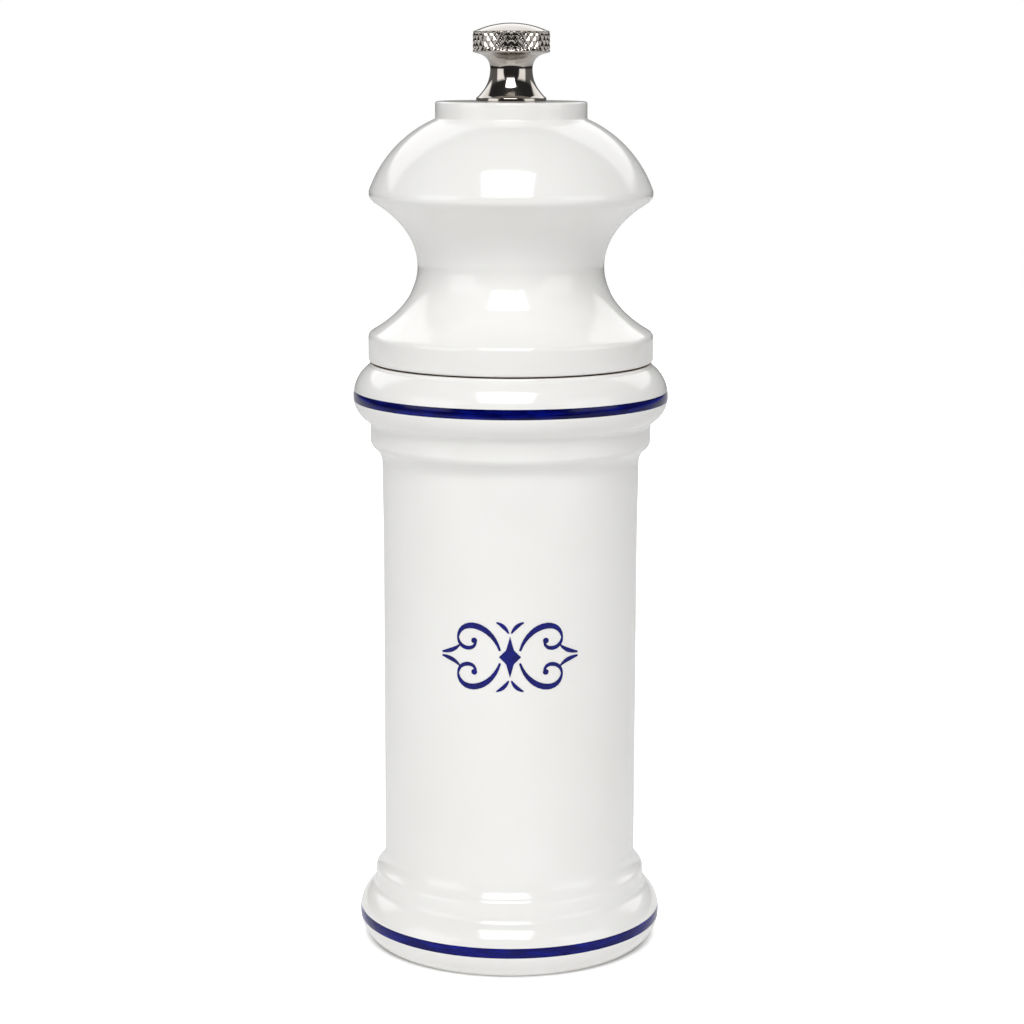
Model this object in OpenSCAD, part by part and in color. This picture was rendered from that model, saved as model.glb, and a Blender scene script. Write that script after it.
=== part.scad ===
// Turned table mill for salt or pepper, in millimetres.
// The origin is the centre of the base, +Z runs up the grinding axis and the front faces -Y.

/* [Turned body] */
// Radius of the plain column
column_r = 25; // [24:0.5:32]
// Length of the plain column, between its two mouldings
column_len = 78.3; // [60:0.5:110]
// Height of the base moulding, from the table to the foot of the column
base_h = 18.05; // [17.8:0.05:24]
// How far the base bulge stands out from the column
base_bulge_out = 5.07; // [3.5:0.05:7]
// Height of the widest point of the base bulge
base_bulge_z = 5.25; // [4.5:0.05:6]
// Radius of the base bulge's curve
base_bulge_curve = 6.25; // [5.8:0.05:7]
// How far the ring above the base bulge stands out from the column
base_ring_out = 1.88; // [1.2:0.02:2.6]
// Height of the shoulder moulding, from the top of the column to the seam
shoulder_h = 19.6; // [18.5:0.1:26]
// How far the shoulder bulge stands out from the column
shoulder_bulge_out = 5.75; // [4.5:0.05:7]
// How far below the seam the shoulder bulge is widest
shoulder_bulge_drop = 6.5; // [5.5:0.1:7]
// How far the ring under the shoulder bulge stands out from the column
shoulder_ring_out = 2.45; // [1.5:0.05:3]
// Rounding of the lips that meet at the seam
seam_lip = 0.55; // [0.2:0.05:0.8]
// Radius of the bore that holds the grain and the mechanism
chamber_r = 17.5; // [17:0.25:21]

/* [Turned head] */
// How far the head's ring stands out from the column
head_ring_out = 2.76; // [1.5:0.05:3.5]
// Height of the head's ring above the seam
head_ring_h = 4.9; // [3.5:0.1:6]
// Radius of the waist
waist_r = 18.1; // [15:0.1:20]
// Height of the waist above the seam
waist_h = 18.7; // [17.8:0.1:24]
// Half the height of the waist's hollow
waist_half = 12.35; // [11.5:0.05:13]
// How far the dome's rim stands out from the column
dome_rim_out = 2.45; // [1.5:0.05:3.5]
// Radius of the dome's curve
dome_curve = 23.33; // [22.5:0.1:26]
// Radius of the collar under the knob
collar_r = 14.63; // [12:0.1:16]
// Height of the collar
collar_h = 3.55; // [2:0.05:5]
// Depth of the spigot that enters the body
spigot_len = 9.1; // [6:0.1:14]
// Gap all round the spigot in the body's mouth
spigot_gap = 0.3; // [0.2:0.05:0.5]
// Radius of the bore that the shaft passes through
head_bore_r = 4; // [3.9:0.05:5]

/* [Knob] */
// Radius of the knurled rim
knob_r = 7.4; // [6.8:0.1:9]
// Radius of the foot
knob_foot_r = 6.75; // [6:0.05:8]
// Radius of the waist of the knob
knob_waist_r = 4.06; // [3.9:0.02:5]
// Height from the foot to the top
knob_h = 14.85; // [14.4:0.05:20]
// Height of the knurled rim
knob_rim_h = 3.9; // [3.2:0.1:5]
// Rise of the dome on the knob
knob_dome_h = 1.5; // [1:0.1:2]
// Number of knurled grooves each way
knurl_count = 32; // [20:1:40]
// Depth of a knurled groove
knurl_depth = 0.35; // [0.2:0.05:0.5]

/* [Shaft] */
// Side of the square shaft
shaft_side = 5; // [4.8:0.1:5.3]
// Radius of the threaded end, plain over its crests
thread_r = 2.4; // [2.2:0.02:2.4]
// Length of the threaded end
thread_len = 22; // [16:0.5:30]
// Thread inside the knob at the coarsest setting
thread_grip = 6.4; // [5:0.1:7]
// Radial gap between the thread and the knob
thread_gap = 0.06; // [0.02:0.01:0.1]
// Radius of the pivot at the bottom of the shaft
pivot_r = 2.3; // [2:0.05:2.4]
// Gap between the pivot and the bottom bar
pivot_gap = 0.08; // [0.02:0.01:0.1]
// Gap on each side of the shaft in a square hole
square_gap = 0.1; // [0.05:0.01:0.2]
// How far the shaft rises from the coarsest to the finest setting
grind_travel = 2.4; // [1.6:0.1:2.4]

/* [Mechanism] */
// Height of the bottom bar above the table
bar_up = 4; // [3:0.1:6]
// Thickness of the bottom bar
bar_t = 1.5; // [1:0.1:2]
// Width of the bottom bar
bar_w = 9; // [8:0.5:12]
// Thickness of the housing's flange
flange_t = 2; // [1.5:0.1:3]
// How far the flange reaches past the chamber
flange_lip = 5.3; // [5:0.1:5.4]
// Wall of the housing
housing_wall = 2.3; // [1.5:0.1:2.5]
// Gap round the housing and its flange in the wood
housing_gap = 0.2; // [0.1:0.05:0.3]
// Thickness of the lip that the stator stands on
stator_lip_t = 3; // [2:0.1:4]
// Height of the stator
stator_h = 11; // [9:0.5:13]
// Radius of the rotor at its wide lower end
rotor_r = 12; // [11:0.1:12.2]
// Radius of the rotor at its narrow upper end
rotor_top_r = 7.6; // [7.2:0.1:9]
// Height of the rotor
rotor_h = 12; // [10:0.5:14]
// Gap between rotor and stator at the finest setting
fine_gap = 0.12; // [0.1:0.01:0.3]
// Radius of the hub inside the rotor
hub_r = 5.5; // [5.2:0.1:6]
// Thickness of the hub's foot
hub_foot_t = 1.2; // [0.8:0.1:2]
// How far the hub stands above the rotor
hub_proud = 1.5; // [1:0.1:3]
// Thickness of the shaft clip
clip_t = 0.7; // [0.5:0.05:1]
// Gap under the shaft clip at the coarsest setting
clip_gap = 0.3; // [0.2:0.05:0.6]
// Wire diameter of the spring
wire_d = 0.9; // [0.7:0.05:1]
// Radius of the spring to the middle of its wire
spring_r = 4.6; // [4.4:0.05:4.9]
// Length of the spring at the coarsest setting
spring_len = 10.5; // [9.5:0.5:16]
// Turns of the spring
spring_turns = 5.5; // [4:0.5:6]
// Thickness of the spring washer
washer_t = 0.8; // [0.5:0.1:1.2]
// Radius of the spring washer and of the cage's boss
boss_r = 6.2; // [6:0.1:7]
// Thickness of the cage's spokes
spoke_t = 3; // [2:0.1:4]
// Width of the cage's spokes
spoke_w = 3.4; // [2.5:0.1:5]
// Thickness of the drive plate
plate_t = 1.2; // [0.8:0.1:2]
// Wall of the spigot round the drive plate
plate_inset = 2.2; // [1.5:0.1:3]

/* [Paint] */
// Width of the painted bands
band_w = 1.95; // [1:0.05:3]
// How far the middle of each band lies above the widest point of its bulge
band_rise = 0.2; // [0:0.05:0.5]
// Thickness of the paint
paint_t = 0.08; // [0.05:0.01:0.2]
// Height of the ornament's middle above the foot of the column
ornament_up = 44.5; // [20:0.5:60]
// Size of the ornament, as a share of its drawn size
ornament_scale = 1; // [0.6:0.05:1.4]

/* [Hidden] */
$fn = 96;

// Colours
LACQUER = [0.94, 0.94, 0.93];
COBALT = [0.04, 0.08, 0.36];
NICKEL = [0.72, 0.70, 0.67];
STEEL = [0.60, 0.61, 0.62];
CERAMIC = [0.92, 0.90, 0.85];
MOULDED = [0.14, 0.14, 0.15];

cut = 1;         // how far a cutting shape runs past what it cuts
arc_step = 4;    // degrees between the points of an arc
curve_steps = 18; // points along a free curve

// Levels of the turned body
column_z = base_h;
column_top = column_z + column_len;
seam_z = column_top + shoulder_h;
shoulder_z = seam_z - shoulder_bulge_drop;

// Levels of the mechanism, from the bottom bar up
bar_top = bar_up + bar_t;
ledge_z = bar_top + flange_t;
stator_z = bar_top + stator_lip_t;
stator_top = stator_z + stator_h;
clip_z = bar_top + clip_gap;
hub_z = clip_z + clip_t;
rotor_z = hub_z + hub_foot_t;
hub_top = rotor_z + rotor_h + hub_proud;
washer_z = hub_top + spring_len;
boss_z = washer_z + washer_t;
cage_top = boss_z + spoke_t;
pivot_foot = bar_up - 2;

// Radii of the mechanism
recess_r = chamber_r + flange_lip + housing_gap;
housing_r = chamber_r - housing_gap;
housing_in = housing_r - housing_wall;
cone_slope = (rotor_r - rotor_top_r) / rotor_h;
fine_z = rotor_z + grind_travel;
mouth_gap = fine_gap * sqrt(1 + cone_slope * cone_slope);
throat_r = rotor_r + mouth_gap + (fine_z - stator_z) * cone_slope;
throat_top_r = throat_r - stator_h * cone_slope;
lip_r = throat_r + 0.3;
cage_ring_in = housing_in - 2.4;
clip_r = pivot_r + 2.2;
groove_r = pivot_r - 0.5;
shaft_corner = shaft_side / sqrt(2);
bearing_r = shaft_corner + pivot_gap;

// Screws
bar_screw_at = chamber_r + 2.6;
bar_screw_r = 1.4;
bar_screw_head_r = 2.3;
bar_screw_head_t = 1.3;
screw_bite = 10;
plate_screw_at = 10.5;
plate_screw_r = 1.2;
plate_screw_head_r = 2.3;

// Head
spigot_r = chamber_r - spigot_gap;
spigot_z = seam_z - spigot_len;
plate_r = spigot_r - plate_inset;
waist_z = seam_z + waist_h;
rim_r = column_r + dome_rim_out;
rim_round = 1.25;
hollow_end_r = rim_r - 0.86;
dome_z = waist_z + waist_half + 1.5;
dome_start = 18.3;   // angle of the dome's curve at the rim
dome_cx = rim_r - dome_curve * cos(dome_start) + 0.12;
dome_cz = dome_z - dome_curve * sin(dome_start) + 0.25;
collar_cove = 0.55;
dome_end = acos((collar_r + collar_cove - dome_cx) / dome_curve);
collar_z = dome_cz + dome_curve * sin(dome_end) + collar_cove * 0.6;
collar_round = 0.4;
head_top = collar_z + collar_h - collar_cove * 0.6;
head_ring_r = column_r + head_ring_out;
mouth_chamfer = 0.8;

// Knob and shaft end
knob_top = head_top + knob_h;
shaft_top = head_top + thread_grip;
thread_z = shaft_top - thread_len;
knob_hole_top = shaft_top + grind_travel + 1;

// Points of an arc in the plane of the outline
function arc(cx, cz, r, a0, a1) = let (n = max(2, ceil(abs(a1 - a0) / arc_step)))
    [for (i = [0:n]) let (a = a0 + (a1 - a0) * i / n) [cx + r * cos(a), cz + r * sin(a)]];

// Points of a cubic curve, without its first point
function bezier(a, b, c, d, n = curve_steps) = [for (i = [1:n]) let (t = i / n, s = 1 - t)
    s * s * s * a + 3 * s * s * t * b + 3 * s * t * t * c + t * t * t * d];

// A step between two radii: a rounding of radius q at the first and a cove that meets it
function ogee(r1, z1, r2, z2, q) = let (
        dr = abs(r2 - r1), dz = z2 - z1,
        both = (dr * dr + dz * dz) / (2 * dr),
        turn = acos((both - dr) / both),
        way = r2 < r1 ? 1 : -1,
        first = [for (p = arc(0, 0, q, 0, turn)) [r1 - way * (q - p[0]), z1 + p[1]]],
        cove = both - q,
        second = [for (p = arc(0, 0, cove, turn, 0)) [r2 + way * (cove - p[0]), z2 - p[1]]])
    concat(first, [for (i = [1:len(second) - 1]) second[i]]);

// Radius of the cove that leads from a wall at height z to a bulge with centre (cx, cz)
function cove_r(wall, z, cx, cz, r) = ((wall - cx) * (wall - cx) + (z - cz) * (z - cz) - r * r)
    / (2 * (r - (wall - cx)));

// Outline of the base moulding, going up from the table
base_cx = column_r + base_bulge_out - base_bulge_curve;
base_ring_r = column_r + base_ring_out;
base_ring_z = base_bulge_z + 6.5;
base_ring_top = base_ring_z + 1.9;
base_cove = cove_r(base_ring_r, base_ring_z, base_cx, base_bulge_z, base_bulge_curve);
base_turn = atan2(base_ring_z - base_bulge_z, base_ring_r + base_cove - base_cx);
base_line = concat(
    arc(base_cx, base_bulge_z, base_bulge_curve, -asin(base_bulge_z / base_bulge_curve), base_turn),
    arc(base_ring_r + base_cove, base_ring_z, base_cove, 180 + base_turn, 180),
    ogee(base_ring_r, base_ring_top, column_r, column_z, 1.6));

// Outline of the column and the shoulder moulding
flare = 0.2;
flare_z = column_z + column_len - 14;
neck_r = column_r + flare;
shoulder_ring_r = column_r + shoulder_ring_out;
shoulder_ring_z = column_top + 4.6;
low_curve = 5.6;
high_curve = 7.24;
bulge_r = column_r + shoulder_bulge_out;
low_cx = bulge_r - low_curve;
high_cx = bulge_r - high_curve;
low_wall_z = shoulder_z - 6;
low_cove = cove_r(shoulder_ring_r, low_wall_z, low_cx, shoulder_z, low_curve);
low_turn = atan2(shoulder_z - low_wall_z, shoulder_ring_r + low_cove - low_cx);
seam_turn = asin((shoulder_bulge_drop - seam_lip) / high_curve);
seam_r = high_cx + high_curve * cos(seam_turn);
shoulder_line = concat(
    [[column_r, flare_z]],
    ogee(neck_r, column_top, shoulder_ring_r, shoulder_ring_z, 3.8),
    arc(shoulder_ring_r + low_cove, low_wall_z, low_cove, 180, 180 - low_turn),
    arc(low_cx, shoulder_z, low_curve, -low_turn, 0),
    arc(high_cx, shoulder_z, high_curve, arc_step, seam_turn),
    arc(seam_r - seam_lip, seam_z - seam_lip, seam_lip, 20, 90));

// Outline of the head, going up from the seam
hollow_slope = 58.7;   // angle from upright where the hollow ends
hollow_pull = 8.54;
waist_pull = 2.85;
hollow_low = [hollow_end_r, waist_z - waist_half];
hollow_high = [hollow_end_r, waist_z + waist_half];
pull_in = hollow_pull * sin(hollow_slope);
pull_up = hollow_pull * cos(hollow_slope);
ring_round = 1.35;
head_line = concat(
    arc(head_ring_r - seam_lip, seam_z + seam_lip, seam_lip, -90, 0),
    arc(head_ring_r - ring_round, seam_z + head_ring_h, ring_round, 0, hollow_slope - 8),
    bezier(hollow_low, hollow_low + [-pull_in, pull_up], [waist_r, waist_z - waist_pull],
        [waist_r, waist_z]),
    bezier([waist_r, waist_z], [waist_r, waist_z + waist_pull], hollow_high + [-pull_in, -pull_up],
        hollow_high),
    arc(rim_r - rim_round, dome_z, rim_round, -hollow_slope + 25, 0),
    arc(dome_cx, dome_cz, dome_curve, dome_start + 1, dome_end),
    arc(collar_r + collar_cove, collar_z + collar_cove * 0.4, collar_cove, 225, 180),
    arc(collar_r - collar_round, head_top - collar_round, collar_round, 0, 90));

// Outline of the knob, going up from its foot
knob_rim_z = knob_top - knob_dome_h - knob_rim_h;
knob_waist_z = head_top + 6.2;
knob_edge = 0.45;
knurl_lean = 45;   // degrees that the knurled grooves lean from upright
knob_dome_curve = (pow(knob_r - knob_edge, 2) + knob_dome_h * knob_dome_h) / (2 * knob_dome_h);
knob_dome_turn = asin((knob_r - knob_edge) / knob_dome_curve);
knob_line = concat(
    [[knob_foot_r - 0.1, head_top], [knob_foot_r, head_top + 0.1]],
    arc(knob_foot_r - 0.25, head_top + 0.55, 0.25, 0, 60),
    bezier([knob_foot_r - 0.25, head_top + 0.8], [knob_foot_r - 1.5, head_top + 2.15],
        [knob_waist_r, head_top + 3.55], [knob_waist_r, knob_waist_z], 10),
    bezier([knob_waist_r, knob_waist_z], [knob_waist_r, knob_rim_z - 2],
        [knob_waist_r + 0.7, knob_rim_z - 0.75], [knob_r - 0.8, knob_rim_z - 0.35], 10),
    arc(knob_r - knob_edge, knob_rim_z + 0.15, knob_edge, -45, 0),
    arc(knob_r - knob_edge, knob_top - knob_dome_h - knob_edge, knob_edge, 0, 60),
    arc(0, knob_top - knob_dome_curve, knob_dome_curve, 90 - knob_dome_turn, 90));

// A solid turned about the axis: the outline, closed at r_in
module turned(line, r_in) {
    rotate_extrude()
        polygon(concat([[r_in, line[0][1]]], line, [[r_in, line[len(line) - 1][1]]]));
}

module bore(r, z0, z1) {
    translate([0, 0, z0])
        cylinder(r = r, h = z1 - z0);
}

module tube(r_out, r_in, z0, z1) {
    difference() {
        bore(r_out, z0, z1);
        bore(r_in, z0 - cut, z1 + cut);
    }
}

// A square hole or bar on the axis
module square_bar(side, z0, z1) {
    translate([-side / 2, -side / 2, z0])
        cube([side, side, z1 - z0]);
}

module bar_screw_places() {
    for (side = [-1, 1])
        translate([side * bar_screw_at, 0, 0])
            children();
}

module plate_screw_places() {
    for (a = [60, 180, 300])
        rotate([0, 0, a])
            translate([plate_screw_at, 0, 0])
                children();
}

// The film of paint in a band of the body's surface
module paint_film(z) {
    band_z = z - band_w / 2;
    intersection() {
        turned(concat(base_line, shoulder_line), chamber_r);
        tube(column_r + 8, column_r + 1, band_z, band_z + band_w);
    }
}

module band(z) {
    difference() {
        paint_film(z);
        band_core(z);
    }
}

// What stays of the body under a band: its outline, one film thinner
module band_core(z) {
    line = concat(base_line, shoulder_line);
    rotate_extrude()
        polygon(concat([[chamber_r, line[0][1]]], [for (p = line) [p[0] - paint_t, p[1]]],
            [[chamber_r, line[len(line) - 1][1]]]));
}

module mill_body() {
    color(LACQUER)
        difference() {
            turned(concat(base_line, shoulder_line), chamber_r);
            bore(recess_r, -cut, ledge_z);
            translate([0, 0, seam_z - mouth_chamfer])
                cylinder(r1 = chamber_r, r2 = chamber_r + mouth_chamfer, h = mouth_chamfer);
            bar_screw_places()
                bore(bar_screw_r, ledge_z - cut, bar_top + flange_t + screw_bite);
            band(shoulder_z + band_rise);
            band(base_bulge_z + band_rise);
        }
}

module shoulder_band() {
    color(COBALT)
        band(shoulder_z + band_rise);
}

module base_band() {
    color(COBALT)
        band(base_bulge_z + band_rise);
}

// A brush stroke along a cubic curve, thin at both ends
function along(p, t) = let (s = 1 - t)
    s * s * s * p[0] + 3 * s * s * t * p[1] + 3 * s * t * t * p[2] + t * t * t * p[3];
function heading(p, t) = let (s = 1 - t,
        d = s * s * (p[1] - p[0]) + 2 * s * t * (p[2] - p[1]) + t * t * (p[3] - p[2]))
    d / norm(d);
function stroke_side(p, w, thin, n, side) = [for (i = [0:n]) let (
        t = i / n, h = heading(p, t), half = (thin + (w - thin) * sin(180 * t)) / 2)
    along(p, t) + side * half * [-h[1], h[0]]];

module stroke(p, w, thin) {
    n = 14;
    right = stroke_side(p, w, thin, n, -1);
    left = stroke_side(p, w, thin, n, 1);
    polygon(concat(right, [for (i = [n:-1:0]) left[i]]));
}

// One quarter of the flourish: a scroll with its curl, a leaf and a dot
module flourish_quarter() {
    stroke([[1.9, 1.2], [3.6, 6.6], [9.4, 7.4], [9.9, 3.6]], 1.15, 0.4);
    stroke([[9.9, 3.7], [9.9, 1.1], [6.6, 0.9], [6.5, 2.9]], 0.75, 0.35);
    translate([6.8, 3.05])
        circle(r = 0.55, $fn = 24);
    stroke([[9.6, 2.0], [10.6, 0.9], [11.7, 0.6], [12.9, 0.35]], 0.8, 0.3);
    stroke([[0.25, 4.6], [0.8, 5.6], [1.5, 6.3], [2.6, 6.7]], 0.75, 0.25);
}

module flourish() {
    for (sx = [0, 1], sy = [0, 1])
        mirror([sx, 0])
            mirror([0, sy])
                flourish_quarter();
    polygon([[0, 4], [0.75, 1.35], [2.1, 0], [0.75, -1.35], [0, -4], [-0.75, -1.35], [-2.1, 0],
        [-0.75, 1.35]]);
}

module front_ornament() {
    color(COBALT)
        intersection() {
            tube(column_r + paint_t, column_r, column_z + 1, flare_z - 1);
            translate([0, -column_r / 2, column_z + ornament_up])
                rotate([90, 0, 0])
                    linear_extrude(column_r)
                        scale(ornament_scale)
                            flourish();
        }
}

module head() {
    color(LACQUER)
        difference() {
            union() {
                turned(head_line, head_bore_r);
                tube(spigot_r, head_bore_r, spigot_z, seam_z + seam_lip);
            }
            bore(plate_r, spigot_z - cut, spigot_z + plate_t);
            plate_screw_places()
                bore(plate_screw_r, spigot_z, spigot_z + plate_t + screw_bite);
        }
}

// One groove of the knurl, cut by a corner of a square bar that leans to one side
module knurl_groove(lean) {
    mid_z = (knob_rim_z + knob_top - knob_dome_h) / 2;
    bar = knurl_depth * sqrt(2);
    translate([knob_r, 0, mid_z])
        rotate([lean, 0, 0])
            rotate([0, 0, 45])
                cube([bar, bar, 2 * knob_rim_h], center = true);
}

module knob() {
    color(NICKEL)
        difference() {
            turned(knob_line, 0);
            bore(thread_r + thread_gap, head_top - cut, knob_hole_top);
            for (i = [0:knurl_count - 1], lean = [-knurl_lean, knurl_lean])
                rotate([0, 0, 360 * i / knurl_count])
                    knurl_groove(lean);
        }
}

module drive_plate() {
    color(STEEL)
        difference() {
            bore(plate_r, spigot_z, spigot_z + plate_t);
            square_bar(shaft_side + 2 * square_gap, spigot_z - cut, spigot_z + plate_t + cut);
            plate_screw_places()
                translate([0, 0, spigot_z])
                    cylinder(r1 = plate_screw_head_r, r2 = plate_screw_r, h = plate_t);
        }
}

module drive_plate_screws() {
    color(STEEL)
        plate_screw_places()
            difference() {
                union() {
                    translate([0, 0, spigot_z])
                        cylinder(r1 = plate_screw_head_r, r2 = plate_screw_r, h = plate_t);
                    bore(plate_screw_r, spigot_z + plate_t, spigot_z + plate_t + screw_bite);
                }
                slot(plate_screw_head_r, spigot_z, 0.5);
            }
}

// The driver slot in the underside of a screw's head
module slot(r, z, depth) {
    translate([-r - cut, -0.3, z - cut])
        cube([2 * (r + cut), 0.6, depth + cut]);
}

module shaft() {
    color(STEEL)
        difference() {
            union() {
                bore(pivot_r, pivot_foot, hub_z);
                square_bar(shaft_side, hub_z, thread_z);
                bore(thread_r, thread_z, shaft_top - 0.5);
                translate([0, 0, shaft_top - 0.5])
                    cylinder(r1 = thread_r, r2 = thread_r - 0.5, h = 0.5);
            }
            tube(pivot_r + cut, groove_r, clip_z, hub_z);
        }
}

module spring_washer() {
    color(STEEL)
        difference() {
            bore(boss_r - 0.4, washer_z, boss_z);
            square_bar(shaft_side + 2 * square_gap, washer_z - cut, boss_z + cut);
        }
}

// Middle of the spring's wire: a flat turn at each end and an even climb between them
spring_low = hub_top + wire_d / 2;
spring_high = washer_z - wire_d / 2;
flat_turn = 0.75;
function spring_z(turn) = spring_low + (spring_high - spring_low)
    * min(1, max(0, (turn - flat_turn) / (spring_turns - 2 * flat_turn)));

module spring() {
    sides = 8;
    per_turn = 18;
    rings = round(spring_turns * per_turn);
    points = [for (i = [0:rings]) let (turn = i / per_turn, a = 360 * turn)
        for (k = [0:sides - 1]) let (b = 360 * k / sides, r = spring_r + wire_d / 2 * cos(b))
            [r * cos(a), r * sin(a), spring_z(turn) + wire_d / 2 * sin(b)]];
    skin = [for (i = [0:rings - 1]) for (k = [0:sides - 1]) let (
            a = i * sides + k, b = i * sides + (k + 1) % sides)
        [a, b, b + sides, a + sides]];
    ends = [[for (k = [0:sides - 1]) sides - 1 - k], [for (k = [0:sides - 1]) rings * sides + k]];
    color(NICKEL)
        mirror([0, 1, 0])
            polyhedron(points, concat(skin, ends));
}

module rotor_hub() {
    color(MOULDED)
        difference() {
            union() {
                bore(rotor_top_r, hub_z, rotor_z);
                bore(hub_r, rotor_z, hub_top);
                hub_keys(0);
            }
            square_bar(shaft_side + 2 * square_gap, hub_z - cut, hub_top + cut);
        }
}

// The two keys that turn the rotor, or their slots when widened by gap
module hub_keys(gap) {
    key_w = 2 + 2 * gap;
    key_r = hub_r + 0.9 + gap;
    intersection() {
        translate([-key_r, -key_w / 2, rotor_z])
            cube([2 * key_r, key_w, rotor_h / 2 + gap]);
        tube(key_r, hub_r - 0.5, rotor_z, rotor_z + rotor_h);
    }
}

// Grooves of a grinding face, spread round a cone and leaning with its spiral
module burr_grooves(count, width, depth, r, z, run, lean) {
    for (i = [0:count - 1])
        rotate([0, 0, 360 * i / count])
            translate([r, 0, z])
                rotate([0, -atan(cone_slope), 0])
                    rotate([lean, 0, 0])
                        cube([2 * depth, width, run], center = true);
}

module rotor() {
    color(CERAMIC)
        difference() {
            translate([0, 0, rotor_z])
                cylinder(r1 = rotor_r, r2 = rotor_top_r, h = rotor_h);
            bore(hub_r + 0.05, rotor_z - cut, rotor_z + rotor_h + cut);
            translate([0, 0, -0.01])
                hub_keys(0.05);
            burr_grooves(6, 2.6, 1.1, rotor_top_r + 1.8, rotor_z + rotor_h - 3.5, 10, -28);
            burr_grooves(24, 0.8, 0.5, rotor_r - 1, rotor_z + 2.6, 7, -28);
        }
}

module shaft_clip() {
    color(STEEL)
        difference() {
            bore(clip_r, clip_z, hub_z);
            bore(groove_r, clip_z - cut, hub_z + cut);
            translate([0, -groove_r, clip_z - cut])
                cube([clip_r + cut, 2 * groove_r, clip_t + 2 * cut]);
        }
}

module stator() {
    color(CERAMIC)
        difference() {
            bore(housing_in - 0.05, stator_z, stator_top);
            translate([0, 0, stator_z])
                cylinder(r1 = throat_r, r2 = throat_top_r, h = stator_h);
            burr_grooves(6, 2.6, 1.1, throat_top_r + 1.2, stator_top - 3, 9, 28);
            burr_grooves(30, 0.8, 0.5, throat_r - 0.9, stator_z + 2.4, 7, 28);
        }
}

module stator_housing() {
    color(MOULDED)
        difference() {
            union() {
                bore(recess_r - housing_gap, bar_top, ledge_z);
                bore(housing_r, bar_top, cage_top);
            }
            bore(lip_r, bar_top - cut, cage_top);
            bore(housing_in, stator_z, cage_top + cut);
            bar_screw_places()
                bore(bar_screw_r, bar_top - cut, ledge_z + cut);
        }
}

module cage() {
    ring_h = 2.5;
    post = housing_in - 0.05;
    color(MOULDED)
        difference() {
            union() {
                tube(post, cage_ring_in, stator_top, stator_top + ring_h);
                bore(boss_r, boss_z, cage_top);
                intersection() {
                    for (a = [30, 150, 270])
                        rotate([0, 0, a])
                            translate([0, -spoke_w / 2, stator_top])
                                cube([post, spoke_w, cage_top - stator_top]);
                    union() {
                        tube(post, cage_ring_in, stator_top, cage_top);
                        bore(post, boss_z, cage_top);
                    }
                }
            }
            bore(bearing_r, boss_z - cut, cage_top + cut);
        }
}

module bottom_bar() {
    color(STEEL)
        difference() {
            intersection() {
                bore(recess_r - housing_gap, bar_up, bar_top);
                translate([-recess_r, -bar_w / 2, bar_up])
                    cube([2 * recess_r, bar_w, bar_t]);
            }
            bore(pivot_r + pivot_gap, bar_up - cut, bar_top + cut);
            bar_screw_places()
                bore(bar_screw_r, bar_up - cut, bar_top + cut);
        }
}

module bar_screws() {
    color(STEEL)
        bar_screw_places()
            difference() {
                union() {
                    bore(bar_screw_head_r, bar_up - bar_screw_head_t, bar_up);
                    bore(bar_screw_r, bar_up, ledge_z + screw_bite);
                }
                slot(bar_screw_head_r, bar_up - bar_screw_head_t, 0.6);
            }
}

mill_body();
shoulder_band();
base_band();
front_ornament();
head();
knob();
drive_plate();
drive_plate_screws();
shaft();
spring_washer();
spring();
rotor_hub();
rotor();
shaft_clip();
stator();
stator_housing();
cage();
bottom_bar();
bar_screws();
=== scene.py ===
import math
import bpy
import bmesh
from mathutils import Matrix, Vector


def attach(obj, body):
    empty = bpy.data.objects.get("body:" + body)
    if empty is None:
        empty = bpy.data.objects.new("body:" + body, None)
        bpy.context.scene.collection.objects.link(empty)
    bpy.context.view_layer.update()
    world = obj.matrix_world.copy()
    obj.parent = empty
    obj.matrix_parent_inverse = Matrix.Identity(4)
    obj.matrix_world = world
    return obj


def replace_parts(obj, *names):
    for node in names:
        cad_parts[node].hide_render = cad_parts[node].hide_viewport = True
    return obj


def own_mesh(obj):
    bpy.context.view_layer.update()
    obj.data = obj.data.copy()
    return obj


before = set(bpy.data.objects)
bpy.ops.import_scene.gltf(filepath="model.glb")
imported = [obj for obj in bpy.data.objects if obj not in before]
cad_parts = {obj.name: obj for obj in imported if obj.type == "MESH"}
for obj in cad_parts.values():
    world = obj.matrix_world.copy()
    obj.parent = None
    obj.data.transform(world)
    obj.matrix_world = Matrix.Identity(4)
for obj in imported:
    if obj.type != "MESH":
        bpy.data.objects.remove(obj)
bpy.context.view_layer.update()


# ---- Turned body ----
# The body is one piece of close-grained wood, turned between centres and bored through.
# Its outside is sprayed with white gloss lacquer. The bore, the recess underneath and the
# seam face, which is let in so that the head sits flat, are left as bare wood.
column_r = 25
column_z = 18.05
column_top = 96.35
seam_z = 115.95
chamber_r = 17.5
recess_r = 23
ledge_z = 7.5
seam_lip = 0.55
seam_gap = 0.28
seat_r = 22.3
groove_low_r = 22.5
groove_high_r = 26.6
body_groove = 0.22
head_groove = 0.3
band_w = 1.95
band_rise = 0.2
paint_t = 0.08
base_bulge_z = 5.25
shoulder_z = 109.45


def arc(cx, cz, r, a0, a1, step=2):
    """Points of an arc in the plane of the outline, in millimetres and degrees."""
    n = max(2, math.ceil(abs(a1 - a0) / step))
    turns = [math.radians(a0 + (a1 - a0) * i / n) for i in range(n + 1)]
    return [(cx + r * math.cos(a), cz + r * math.sin(a)) for a in turns]


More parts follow.
